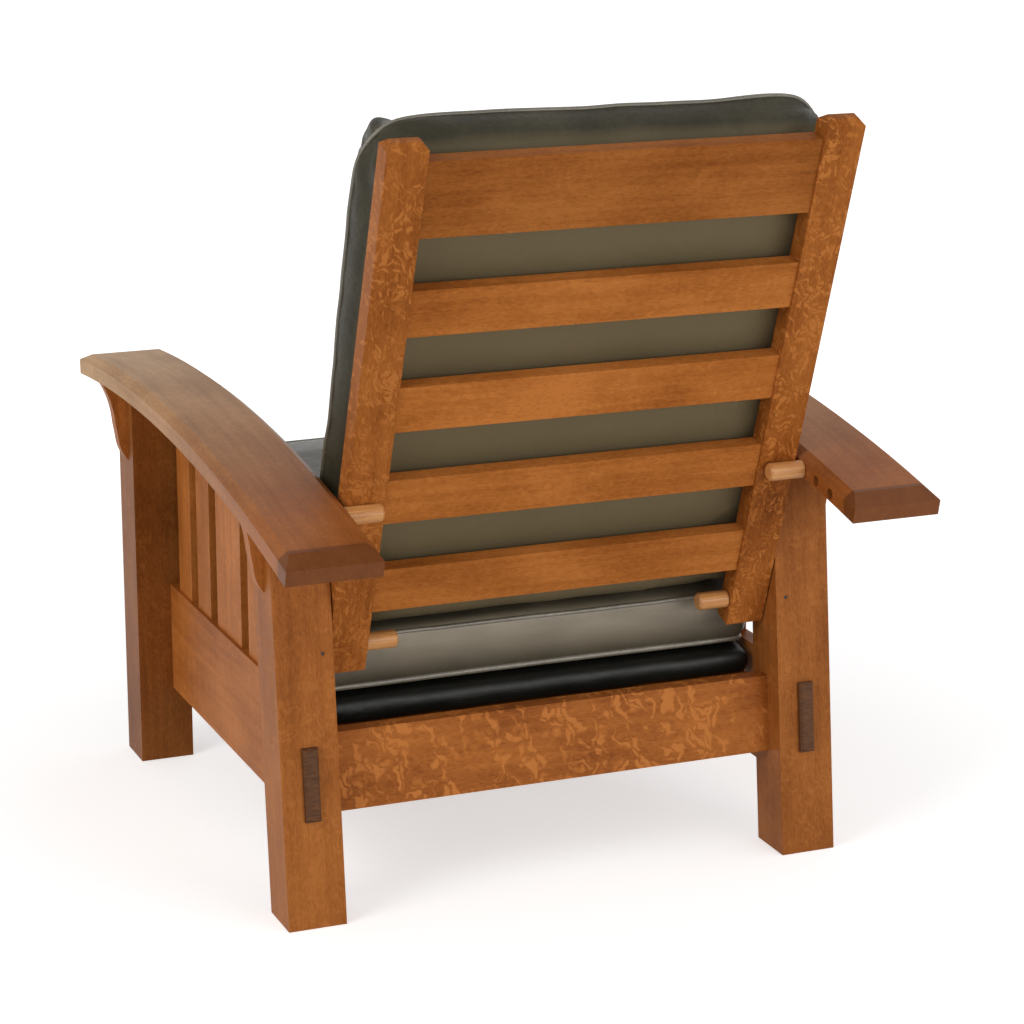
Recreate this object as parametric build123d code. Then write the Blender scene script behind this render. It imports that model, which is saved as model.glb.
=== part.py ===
from build123d import *
import os
from math import asin, atan2, cos, degrees, hypot, radians, sin, sqrt, tan

# A reclining armchair in quarter-sawn oak with loose leather cushions.
# Millimetres and degrees. +X is the sitter's left, the front faces -Y and +Z is up.
# While it is built, Y is zero at the back of the rear legs on the floor.

# Legs
frame_width = 762.0
frame_depth = 740.0
leg_width = 76.0
leg_depth = 71.0
rear_leg_rake = 6.33

# Arms: a board bent to a long arc, bevelled on top
arm_width = 120.5
arm_thickness = 29.0
arm_reveal = 3.0
arm_front_overhang = 20.0
arm_rear_overhang = 154.0
arm_arc_radius = 2905.0
arm_peak_height = 568.0
arm_peak_setback = 244.0
arm_side_bevel_run = 12.0
arm_end_bevel_run = 26.0
arm_bevel_drop = 9.0

# Corbels under the arms, on the outside of the legs
corbel_height = 120.0
corbel_reach = 39.0
corbel_thickness = 20.0
corbel_waist_drop = 66.0
corbel_waist_reach = 16.5
corbel_hollow = 4.5
corbel_heel_drop = 90.0
corbel_heel_reach = 12.5
corbel_swell = 2.5

# Side panels: a deep rail with slats up to the arm
side_rail_height = 154.0
side_rail_bottom = 106.0
side_rail_thickness = 22.0
side_rail_inset = 49.0
slat_setback = 5.0
slat_thickness = 14.0
narrow_slat_width = 60.0
wide_slat_width = 108.0

# Rear and front rails
rear_rail_height = 101.0
rear_rail_bottom = 132.0
rear_rail_inset = 31.5
front_rail_height = 150.0
front_rail_inset = 25.0
rail_thickness = 22.0

# Tenon caps on the legs
tenon_width = 20.0
tenon_proud = 8.0
tenon_chamfer = 3.0
tenon_shoulder = 30.0

# Back frame
back_lean = 19.1
back_gap = 2.0
post_width = 51.5
post_depth = 28.0
post_length = 731.0
post_chamfer = 8.0
back_slat_inset = 3.0
back_slat_thickness = 18.0
crest_width = 99.0
crest_drop = 23.0
back_slat_width = 62.0
back_slat_gap = 68.8
back_slat_count = 4

# Pivot pins and support pegs
hinge_height = 340.0
hinge_inset = 39.0
hinge_rise = 33.0
peg_head_diameter = 23.0
peg_shank_diameter = 12.5
peg_chamfer = 2.5
peg_shoulder_chamfer = 1.2
pivot_head_length = 42.0
pivot_leg_depth = 50.0
support_head_length = 48.0
support_shank_length = 34.0
peg_hole_pitch = 38.1
peg_hole_count = 3
peg_hole_rise = 9.2
peg_hole_relief = 0.8

# Lock screws for the pivot pins
lock_screw_diameter = 5.0
lock_screw_sink = 1.0
lock_screw_inset = 14.0

# Seat: an upholstered deck on two cleats, and a loose cushion
seat_slope = 9.4
seat_rear_height = 259.3
seat_rear_setback = 121.0
deck_side_clearance = 5.0
deck_rear_reach = 21.0
deck_board_thickness = 12.0
deck_pad_thickness = 35.0
deck_roll = 7.0
deck_corner = 9.0
cleat_height = 25.0
rear_cleat_depth = 45.0
front_cleat_depth = 30.0
cleat_screw_diameter = 4.5
cleat_screw_head = 9.0
cleat_screw_bite = 13.0
cleat_screw_head_height = 2.5
cleat_screw_edge = 60.0
cleat_screw_count = 4

# Seat cushion
seat_cushion_side_clearance = 6.0
seat_cushion_overhang = 2.5
seat_cushion_boxing = 72.0
seat_cushion_crown = 15.0
seat_cushion_foot = 6.0
seat_cushion_corner = 26.0
cushion_draw = 5.0

# Back cushion, one seam round the middle of its edge
back_cushion_side_clearance = 6.0
back_cushion_thickness = 141.0
back_cushion_top_drop = 23.0
back_cushion_roll = 42.0
back_cushion_corner = 34.0

# Clearances
fit_clearance = 0.05
slot_clearance = 0.1
touch_clearance = 0.3
open_clearance = 3.0
overrun = 5.0

# Shares of a cushion's roll or crown: (across, up) from its edge to its full height
roll_shares = [(0.0, 0.0), (0.1, 0.42), (0.3, 0.74), (0.6, 0.93), (1.0, 1.0)]
crown_shares = [(0.0, 0.0), (0.1, 0.42), (0.28, 0.72), (0.56, 0.92), (0.85, 1.0)]
# Share of a section's half width that its corners may take near the middle of the crown
crown_corner_share = 0.7

half_frame = frame_width / 2
leg_inner = half_frame - leg_width
leg_middle = half_frame - leg_width / 2
arm_inner = leg_inner + arm_reveal
rake = radians(rear_leg_rake)
lean = radians(back_lean)
slope = radians(seat_slope)
arc_y = arm_peak_setback - frame_depth
arc_z = arm_peak_height - arm_arc_radius


def box_between(x0, x1, y0, y1, z0, z1):
    middle = Pos((x0 + x1) / 2, (y0 + y1) / 2, (z0 + z1) / 2)
    return middle * Box(x1 - x0, y1 - y0, z1 - z0)


def board(outline, x0, x1):
    """A Y-Z outline, extruded from x0 to x1."""
    face = make_face(Polyline(*[(x0, y, z) for y, z in outline], close=True))
    return extrude(face, amount=x1 - x0, dir=(1, 0, 0))


def rod(diameter, x0, x1, centre):
    """A round bar along X through the point centre."""
    middle = Pos((x0 + x1) / 2, centre.Y, centre.Z)
    return middle * Rot(0, 90, 0) * Cylinder(diameter / 2, x1 - x0)


def mirrored(shape):
    return mirror(shape, Plane.YZ)


def on_arc(angle, radius):
    """A Y-Z point round the centre of the arms' arc, from the peak towards the back."""
    return arc_y + radius * sin(angle), arc_z + radius * cos(angle)


def raked(height, inset=0.0):
    """Y at some height, this far in from the back of the rear legs."""
    return -height * tan(rake) - inset


def seat_height(y, drop=0.0):
    """Z of the deck's top at Y, or of the parallel plane this far below it."""
    return seat_rear_height + (-seat_rear_setback - y) * tan(slope) - drop / cos(slope)


# Everything under the arms is cut off by the arc of their underside.
under_arms = Pos(0, arc_y, arc_z) * Rot(0, 90, 0) * Cylinder(arm_arc_radius, 2 * frame_width)

# The back frame's own axes: up along the posts and out to the rear.
pivot = Vector(0, raked(hinge_height, hinge_inset), hinge_height)
back_up = Vector(0, sin(lean), cos(lean))
back_rear = Vector(0, cos(lean), -sin(lean))
back_foot = pivot - back_up * hinge_rise + back_rear * (post_depth / 2)
back_place = Plane(origin=back_foot, x_dir=(1, 0, 0), z_dir=back_up).location
post_outer = leg_inner - back_gap
post_inner = post_outer - post_width

# The seat's own axes, with its origin at the rear edge of the cushion's foot.
seat_up = Vector(0, sin(slope), cos(slope))
seat_origin = Vector(0, -seat_rear_setback, seat_rear_height)
seat_plane = Plane(origin=seat_origin, x_dir=(1, 0, 0), z_dir=seat_up)

# Each support peg touches the back of its post, at mid height in the arm's edge.
peg_reach = post_depth / 2 + peg_head_diameter / 2 + touch_clearance
peg_line = pivot + back_rear * peg_reach - Vector(0, arc_y, arc_z)
peg_radius = arm_arc_radius + peg_hole_rise
peg_along = peg_line.dot(back_up)
peg_rise = sqrt(peg_along**2 - peg_line.length**2 + peg_radius**2) - peg_along
first_hole = pivot + back_rear * peg_reach + back_up * peg_rise
hole_travel = peg_hole_pitch * (peg_hole_count - 1)
first_angle = atan2(first_hole.Y - arc_y, first_hole.Z - arc_z)
last_y, last_z = on_arc(first_angle + hole_travel / peg_radius, peg_radius)
hole_way = Vector(0, last_y - first_hole.Y, last_z - first_hole.Z).normalized()
last_hole = first_hole + hole_way * hole_travel
last_reach = (last_hole - pivot).length
recline = atan2(last_hole.Y - pivot.Y, last_hole.Z - pivot.Z) - asin(peg_reach / last_reach) - lean


def front_leg():
    leg = box_between(leg_inner, half_frame, -frame_depth, leg_depth - frame_depth, 0, arm_peak_height)
    return leg & under_arms


def rear_leg():
    top = arm_peak_height
    outline = [(0, 0), (raked(top), top), (raked(top, leg_depth), top), (-leg_depth, 0)]
    leg = board(outline, leg_inner, half_frame) & under_arms
    bore = peg_shank_diameter + 2 * fit_clearance
    hole = rod(bore, leg_inner - overrun, leg_inner + pivot_leg_depth, pivot)
    return leg - hole - lock_screw(fit_clearance, overrun)


def lock_screw(clearance, extra):
    """A headless screw from the leg's back to the pivot pin, square to the leg's back."""
    way = Vector(0, cos(rake), sin(rake))
    reach = hinge_inset * cos(rake)
    start = peg_shank_diameter / 2 + touch_clearance - clearance
    length = reach - lock_screw_sink + extra - start
    screw = Cylinder(lock_screw_diameter / 2 + clearance, length)
    centre = pivot + way * (start + length / 2) + Vector(leg_inner + lock_screw_inset, 0, 0)
    return Plane(origin=centre, z_dir=way).location * screw


def arm():
    """The section across the arm, swept round the arc, with a wider bevel at each end."""
    top = arm_arc_radius + arm_thickness
    arm_outer = arm_inner + arm_width
    front = asin((-frame_depth - arm_front_overhang - arc_y) / arm_arc_radius)
    rear = asin((arm_rear_overhang - arc_y) / arm_arc_radius)
    start = Plane(origin=(0, arc_y, arc_z), x_dir=(1, 0, 0), z_dir=(0, -cos(front), sin(front)))
    section = [(arm_inner, arm_arc_radius), (arm_outer, arm_arc_radius),
               (arm_outer, top - arm_bevel_drop), (arm_outer - arm_side_bevel_run, top),
               (arm_inner + arm_side_bevel_run, top), (arm_inner, top - arm_bevel_drop)]
    face = start.location * make_face(Polyline(*section, close=True))
    piece = revolve(face, Axis((0, arc_y, arc_z), (-1, 0, 0)), degrees(rear - front))
    for end, side in ((front, -1), (rear, 1)):
        piece -= end_bevel(end, side, top)
    return piece - peg_slot()


def end_bevel(end, side, top):
    """The wedge that comes off the top of the arm at one end."""
    y0, z0 = on_arc(end - side * arm_end_bevel_run / top, top)
    y1, z1 = on_arc(end, top - arm_bevel_drop)
    along = hypot(y1 - y0, z1 - z0)
    step_y, step_z = (y1 - y0) / along * overrun, (z1 - z0) / along * overrun
    far = on_arc(end + side * overrun / top, top + overrun)
    outline = [(y0 - step_y, z0 - step_z), (y1 + step_y, z1 + step_z), far]
    return board(outline, arm_inner - overrun, arm_inner + arm_width + overrun)


def peg_slot():
    """Three peg holes in the arm's inner edge, run together into one way for the peg."""
    x0, x1 = arm_inner - overrun, arm_inner + support_shank_length + touch_clearance
    height = peg_shank_diameter + 2 * slot_clearance
    holes = [rod(height + peg_hole_relief, x0, x1, first_hole + hole_way * peg_hole_pitch * step)
             for step in range(peg_hole_count)]
    middle = first_hole + hole_way * (hole_travel / 2)
    across = hole_way.cross(Vector(1, 0, 0))
    way = Plane(origin=((x0 + x1) / 2, middle.Y, middle.Z), x_dir=(1, 0, 0), z_dir=across)
    cut = way.location * Box(x1 - x0, hole_travel, height)
    for hole in holes:
        cut += hole
    return cut


def corbel(centre_y):
    """A thin bracket in the X-Z plane: hollow under its top, then rounded in to the leg."""
    under = arm_peak_height - arm_drop(centre_y)
    tip = Vector(half_frame + corbel_reach, 0, under)
    waist = Vector(half_frame + corbel_waist_reach, 0, under - corbel_waist_drop)
    heel = Vector(half_frame + corbel_heel_reach, 0, under - corbel_heel_drop)
    toe = Vector(half_frame, 0, under - corbel_height)
    head = Vector(half_frame, 0, arm_peak_height)
    shoulder = Vector(half_frame + corbel_reach, 0, arm_peak_height)
    edges = [bowed(tip, waist, -corbel_hollow), Line(waist, heel), bowed(heel, toe, corbel_swell),
             Line(toe, head), Line(head, shoulder), Line(shoulder, tip)]
    piece = extrude(make_face(edges), amount=corbel_thickness / 2, dir=(0, 1, 0), both=True)
    return Pos(0, centre_y, 0) * piece & under_arms


def bowed(start, end, bow):
    """An arc in the X-Z plane whose middle lies this far outboard of its chord."""
    way = (end - start).normalized()
    outward = Vector(-way.Z, 0, way.X)
    return ThreePointArc(start, (start + end) * (1 / 2) + outward * bow, end)


def arm_drop(y):
    """How far the underside of the arm has dropped from its peak at Y."""
    return arm_arc_radius - sqrt(arm_arc_radius**2 - (y - arc_y)**2)


def side_rail():
    outer = half_frame - side_rail_inset
    top = side_rail_bottom + side_rail_height
    front = leg_depth - frame_depth
    outline = [(front, side_rail_bottom), (raked(side_rail_bottom, leg_depth), side_rail_bottom),
               (raked(top, leg_depth), top), (front, top)]
    return board(outline, outer - side_rail_thickness, outer)


def side_slats():
    """Five slats, the middle one wide, spaced evenly where they meet the arm."""
    outer = half_frame - side_rail_inset - slat_setback
    front = leg_depth - frame_depth
    rear = raked(arm_peak_height, leg_depth)
    widths = [narrow_slat_width, narrow_slat_width, wide_slat_width, narrow_slat_width, narrow_slat_width]
    gap = (rear - front - sum(widths)) / (len(widths) + 1)
    slats = []
    y = front + gap
    for width in widths:
        foot = side_rail_bottom + side_rail_height
        slat = box_between(outer - slat_thickness, outer, y, y + width, foot, arm_peak_height)
        slats.append(slat & under_arms)
        y += width + gap
    return slats


def rear_rail():
    top = rear_rail_bottom + rear_rail_height
    front = rear_rail_inset + rail_thickness
    low = rear_rail_bottom
    outline = [(raked(low, rear_rail_inset), low), (raked(top, rear_rail_inset), top),
               (raked(top, front), top), (raked(low, front), low)]
    return board(outline, -leg_inner, leg_inner) - cleat_screws("rear", fit_clearance)


def front_rail():
    """The front rail stands just under the seat cushion."""
    face = front_rail_inset - frame_depth
    top = seat_height(face + rail_thickness) - open_clearance
    rail = box_between(-leg_inner, leg_inner, face, face + rail_thickness, top - front_rail_height, top)
    return rail - cleat_screws("front", fit_clearance)


def cleat_outline(where):
    """The Y-Z outline of a cleat: flat to its rail, with its top bevelled to the deck."""
    drop = deck_board_thickness + deck_pad_thickness
    if where == "rear":
        rail_inset = rear_rail_inset + rail_thickness
        rail_face = raked(seat_rear_height - drop, rail_inset)
        top = seat_height(rail_face, drop)
        low = top - cleat_height
        back = raked(top, rail_inset)
        front = rail_face - rear_cleat_depth
        return [(raked(low, rail_inset), low), (back, seat_height(back, drop)),
                (front, seat_height(front, drop)), (front, low)]
    face = front_rail_inset + rail_thickness - frame_depth
    back = face + front_cleat_depth
    low = seat_height(back, drop) - cleat_height
    return [(face, low), (face, seat_height(face, drop)), (back, seat_height(back, drop)), (back, low)]


def cleat(where):
    piece = board(cleat_outline(where), -leg_inner, leg_inner)
    return piece - cleat_screws(where, fit_clearance)


def cleat_screws(where, clearance):
    """Screws through a cleat into its rail, with flat heads on the cleat's open face."""
    outline = cleat_outline(where)
    height = outline[0][1] + cleat_height / 2
    start_y = outline[2][0]
    if where == "rear":
        way = Vector(0, 1, 0)
        depth = raked(height, rear_rail_inset + rail_thickness) - start_y
    else:
        way = Vector(0, -1, 0)
        depth = front_cleat_depth
    length = depth + cleat_screw_bite
    screws = None
    step = 2 * (leg_inner - cleat_screw_edge) / (cleat_screw_count - 1)
    for number in range(cleat_screw_count):
        x = cleat_screw_edge - leg_inner + step * number
        seat = Plane(origin=(x, start_y, height), z_dir=way).location
        shank = seat * Pos(0, 0, length / 2) * Cylinder(cleat_screw_diameter / 2 + clearance, length)
        head = Cylinder(cleat_screw_head / 2, cleat_screw_head_height)
        head = seat * Pos(0, 0, -cleat_screw_head_height / 2) * head
        screw = shank if clearance else shank + head
        screws = screw if screws is None else screws + screw
    return screws


def tenon_cap():
    """A chamfered block that stands proud of a leg, drawn at the origin and facing +Y."""
    height = side_rail_height - 2 * tenon_shoulder
    cap = Box(tenon_width, tenon_proud, height, align=(Align.CENTER, Align.MIN, Align.CENTER))
    return chamfer(cap.faces().sort_by(Axis.Y)[-1].edges(), tenon_chamfer)


def rear_tenon_cap():
    height = side_rail_bottom + side_rail_height / 2
    return Pos(leg_middle, raked(height), height) * Rot(rear_leg_rake, 0, 0) * tenon_cap()


def front_tenon_cap():
    height = side_rail_bottom + side_rail_height / 2
    return Pos(leg_middle, -frame_depth, height) * Rot(0, 0, 180) * tenon_cap()


def back_post():
    post = box_between(post_inner, post_outer, -post_depth, 0, 0, post_length)
    post = chamfer(post.faces().sort_by(Axis.Z)[-1].edges(), post_chamfer)
    bore = peg_shank_diameter + 2 * fit_clearance
    return back_place * post - rod(bore, post_inner - overrun, post_outer + overrun, pivot)


def back_slats():
    """The crest rail and the slats below it, from the top down."""
    slats = []
    top = post_length - crest_drop
    for width in [crest_width] + [back_slat_width] * back_slat_count:
        rear = -back_slat_inset
        slat = box_between(-post_inner, post_inner, rear - back_slat_thickness, rear, top - width, top)
        slats.append(back_place * slat)
        top -= width + back_slat_gap
    return slats


def turned_peg(head_length, shank_length):
    """A peg along X: the shank starts at zero and runs to +X, the head to -X."""
    head, shank = peg_head_diameter / 2, peg_shank_diameter / 2
    outline = [(-head_length, 0), (-head_length, head - peg_chamfer), (peg_chamfer - head_length, head),
               (-peg_shoulder_chamfer, head), (0, head - peg_shoulder_chamfer), (0, shank),
               (shank_length - peg_shoulder_chamfer, shank), (shank_length, shank - peg_shoulder_chamfer),
               (shank_length, 0)]
    return revolve(make_face(Polyline(*outline, close=True)), Axis.X)


def pivot_pin():
    shank = post_width + back_gap + pivot_leg_depth - touch_clearance
    return Pos(post_inner - touch_clearance, pivot.Y, pivot.Z) * turned_peg(pivot_head_length, shank)


def support_peg():
    shoulder = arm_inner - touch_clearance
    place = Pos(shoulder, first_hole.Y, first_hole.Z)
    return place * turned_peg(support_head_length, support_shank_length)


def outline_face(place, half_width, low, high, corner):
    """A closed outline in a plane: four sides drawn in between rounded corners."""
    draw, nick = cushion_draw, corner * (1 - sqrt(1 / 2))
    side, middle = half_width, (low + high) / 2
    edges = [
        ThreePointArc((corner - side, low), (0, low + draw), (side - corner, low)),
        ThreePointArc((side - corner, low), (side - nick, low + nick), (side, low + corner)),
        ThreePointArc((side, low + corner), (side - draw, middle), (side, high - corner)),
        ThreePointArc((side, high - corner), (side - nick, high - nick), (side - corner, high)),
        ThreePointArc((side - corner, high), (0, high - draw), (corner - side, high)),
        ThreePointArc((corner - side, high), (nick - side, high - nick), (-side, high - corner)),
        ThreePointArc((-side, high - corner), (draw - side, middle), (-side, low + corner)),
        ThreePointArc((-side, low + corner), (nick - side, low + nick), (corner - side, low))]
    return place.location * make_face(edges)


def deck_front():
    """The deck's front edge along the seat, clear of the front rail."""
    rail = front_rail_inset + rail_thickness - frame_depth
    sink = (deck_pad_thickness + deck_board_thickness) * sin(slope)
    return (rail + open_clearance + sink + seat_rear_setback) / cos(slope)


def deck_board():
    half, low = leg_inner - deck_side_clearance, deck_front()
    height = -deck_pad_thickness - deck_board_thickness
    piece = box_between(-half, half, low, deck_rear_reach, height, -deck_pad_thickness)
    return seat_plane.location * piece


def deck_pad():
    """The upholstered pad on the deck, rolled over along its top edge."""
    half, low, high = leg_inner - deck_side_clearance, deck_front(), deck_rear_reach
    faces = [outline_face(seat_plane.offset(-deck_pad_thickness), half, low, high, deck_corner)]
    for across, up in roll_shares:
        inset = across * deck_roll
        level = seat_plane.offset((up - 1) * deck_roll)
        faces.append(outline_face(level, half - inset, low + inset, high - inset, deck_corner))
    return loft(faces, ruled=True)


def seat_cushion():
    """A boxed cushion: a flat foot, an upright band between two seams, and a crown."""
    half = leg_inner - seat_cushion_side_clearance
    low = (seat_rear_setback - seat_cushion_overhang - frame_depth) / cos(slope)
    foot, corner = seat_cushion_foot, seat_cushion_corner
    levels = [(touch_clearance, foot * 2), (foot / 2, foot / 2), (foot, 0), (foot + seat_cushion_boxing, 0)]
    reach = min(half, -low / 2)
    for across, up in crown_shares[1:]:
        levels.append((foot + seat_cushion_boxing + up * seat_cushion_crown, across * reach))
    faces = []
    for height, inset in levels:
        round_off = min(corner + inset / 2, (reach - inset) * crown_corner_share)
        faces.append(outline_face(seat_plane.offset(height), half - inset, low + inset, -inset, round_off))
    return loft(faces, ruled=True)


def back_on_seat(depth):
    """How far up the back the seat cushion's top lies, this far in front of the posts' back."""
    top = seat_cushion_foot + seat_cushion_boxing + seat_cushion_crown + touch_clearance
    start = back_foot - back_rear * depth
    return (top - (start - seat_origin).dot(seat_up)) / back_up.dot(seat_up)


def back_cushion():
    """A cushion with its seam round the middle of its edge, standing on the seat cushion."""
    half, roll = leg_inner - back_cushion_side_clearance, back_cushion_roll
    rise = back_cushion_thickness / 2
    seam = post_depth + touch_clearance + rise
    levels = [(seam - up * rise, across * roll) for across, up in reversed(roll_shares)]
    levels += [(seam + up * rise, across * roll) for across, up in roll_shares[1:]]
    faces = []
    for depth, inset in levels:
        place = Plane(origin=back_foot - back_rear * depth, x_dir=(1, 0, 0), z_dir=-back_rear)
        low = back_on_seat(depth) + inset / 2
        high = post_length - back_cushion_top_drop - inset
        faces.append(outline_face(place, half - inset, low, high, back_cushion_corner + inset / 2))
    return loft(faces, ruled=True)


def pieces():
    """Every node by its name."""
    nodes = {}

    def add(name, left):
        nodes[name + "_left"] = left
        nodes[name + "_right"] = mirrored(left)

    add("front_leg", front_leg())
    add("rear_leg", rear_leg())
    add("arm", arm())
    add("side_rail", side_rail())
    for number, slat in enumerate(side_slats(), start=1):
        add(f"side_slat_{number}", slat)
    add("front_corbel", corbel(leg_depth / 2 - frame_depth))
    rear_middle = raked(arm_peak_height - corbel_height, leg_depth / 2)
    add("rear_corbel", corbel(rear_middle))
    add("front_tenon_cap", front_tenon_cap())
    add("rear_tenon_cap", rear_tenon_cap())
    add("pivot_pin", pivot_pin())
    add("support_peg", support_peg())
    add("back_post", back_post())
    for number, slat in enumerate(back_slats()):
        nodes["crest_rail" if number == 0 else f"back_slat_{number}"] = slat
    nodes["rear_rail"] = rear_rail()
    nodes["front_rail"] = front_rail()
    nodes["rear_cleat"] = cleat("rear")
    nodes["front_cleat"] = cleat("front")
    nodes["cleat_screws"] = cleat_screws("rear", 0) + cleat_screws("front", 0)
    screw = lock_screw(0, 0)
    nodes["pin_lock_screws"] = screw + mirrored(screw)
    nodes["deck_board"] = deck_board()
    nodes["deck_pad"] = deck_pad()
    nodes["seat_cushion"] = seat_cushion()
    nodes["back_cushion"] = back_cushion()
    return nodes


def main():
    nodes = pieces()
    boxes = [shape.bounding_box() for shape in nodes.values()]
    middle_y = (min(box.min.Y for box in boxes) + max(box.max.Y for box in boxes)) / 2
    place = Pos(0, -middle_y, 0)
    os.makedirs("parts", exist_ok=True)
    for name, shape in nodes.items():
        export_step(place * shape, f"parts/{name}.step")


main()
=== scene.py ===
import bpy
import bmesh
import math
import random
from mathutils import Matrix, Vector, noise
from mathutils.bvhtree import BVHTree


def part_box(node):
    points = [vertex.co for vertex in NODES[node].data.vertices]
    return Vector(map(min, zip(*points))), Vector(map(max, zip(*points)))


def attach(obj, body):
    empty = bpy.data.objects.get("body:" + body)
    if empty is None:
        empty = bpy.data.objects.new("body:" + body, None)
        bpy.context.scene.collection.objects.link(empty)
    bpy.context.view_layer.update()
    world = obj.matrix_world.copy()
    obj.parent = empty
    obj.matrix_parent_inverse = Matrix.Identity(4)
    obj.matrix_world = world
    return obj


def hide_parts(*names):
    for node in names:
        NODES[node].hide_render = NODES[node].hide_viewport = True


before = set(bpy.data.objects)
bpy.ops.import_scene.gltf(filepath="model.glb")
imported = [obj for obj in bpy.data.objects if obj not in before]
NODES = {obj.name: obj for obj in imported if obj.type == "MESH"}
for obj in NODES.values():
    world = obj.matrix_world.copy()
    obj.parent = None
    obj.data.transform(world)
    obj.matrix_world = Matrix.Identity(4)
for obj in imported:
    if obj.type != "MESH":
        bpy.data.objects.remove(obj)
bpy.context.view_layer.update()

FRAME_DEPTH = 0.740
# Y of the back of the rear legs on the floor; places below are measured from it.
REAR_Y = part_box("front_leg_left")[0][1] + FRAME_DEPTH


def at(x, y, z):
    return Vector((x, y + REAR_Y, z))


# The back leans and the seat slopes; each has its own directions and a foot at its lower rear edge.
LEAN = math.radians(19.1)
BACK_UP = Vector((0, math.sin(LEAN), math.cos(LEAN)))
BACK_REAR = Vector((0, math.cos(LEAN), -math.sin(LEAN)))
BACK_FOOT = at(0, -0.0743, 0.3042)
SLOPE = math.radians(9.4)
SEAT_UP = Vector((0, math.sin(SLOPE), math.cos(SLOPE)))
SEAT_REAR = Vector((0, math.cos(SLOPE), -math.sin(SLOPE)))
SEAT_FOOT = at(0, -0.121, 0.2593)
# The rear legs rake, and the arms bend round a centre far below the floor.
LEG_RAKE = math.radians(-6.33)
ARM_CENTRE, ARM_RADIUS = at(0, -0.496, -2.337), 2.92
ARM_FRONT_Y, ARM_REAR_Y, ARM_END_Y = at(0, -0.62, 0).y, at(0, 0.05, 0).y, at(0, 0.1265, 0).y

# Camera at the photograph's viewing angle
CAMERA_YAW, CAMERA_PITCH, CAMERA_ROLL = math.radians(22.45), math.radians(15.23), math.radians(0.15)
CAMERA_PLACE = at(1.4484, 3.3025, 1.4831)
FOCAL_PIXELS, IMAGE_PIXELS, SENSOR_WIDTH = 3009, 1024, 36
CLIP_END = 50


def camera():
    forward = Vector((-math.sin(CAMERA_YAW) * math.cos(CAMERA_PITCH),
                      -math.cos(CAMERA_YAW) * math.cos(CAMERA_PITCH), -math.sin(CAMERA_PITCH)))
    level = forward.cross(Vector((0, 0, 1))).normalized()
    upright = level.cross(forward)
    right = level * math.cos(CAMERA_ROLL) + upright * math.sin(CAMERA_ROLL)
    upward = upright * math.cos(CAMERA_ROLL) - level * math.sin(CAMERA_ROLL)
    data = bpy.data.cameras.new("camera")
    data.lens = FOCAL_PIXELS / IMAGE_PIXELS * SENSOR_WIDTH
    data.sensor_width = SENSOR_WIDTH
    data.clip_end = CLIP_END
    ob = bpy.data.objects.new("camera", data)
    turned = Matrix((right, upward, -forward)).transposed().to_4x4()
    ob.matrix_world = Matrix.Translation(CAMERA_PLACE) @ turned
    bpy.context.scene.collection.objects.link(ob)
    bpy.context.scene.camera = ob


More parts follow.
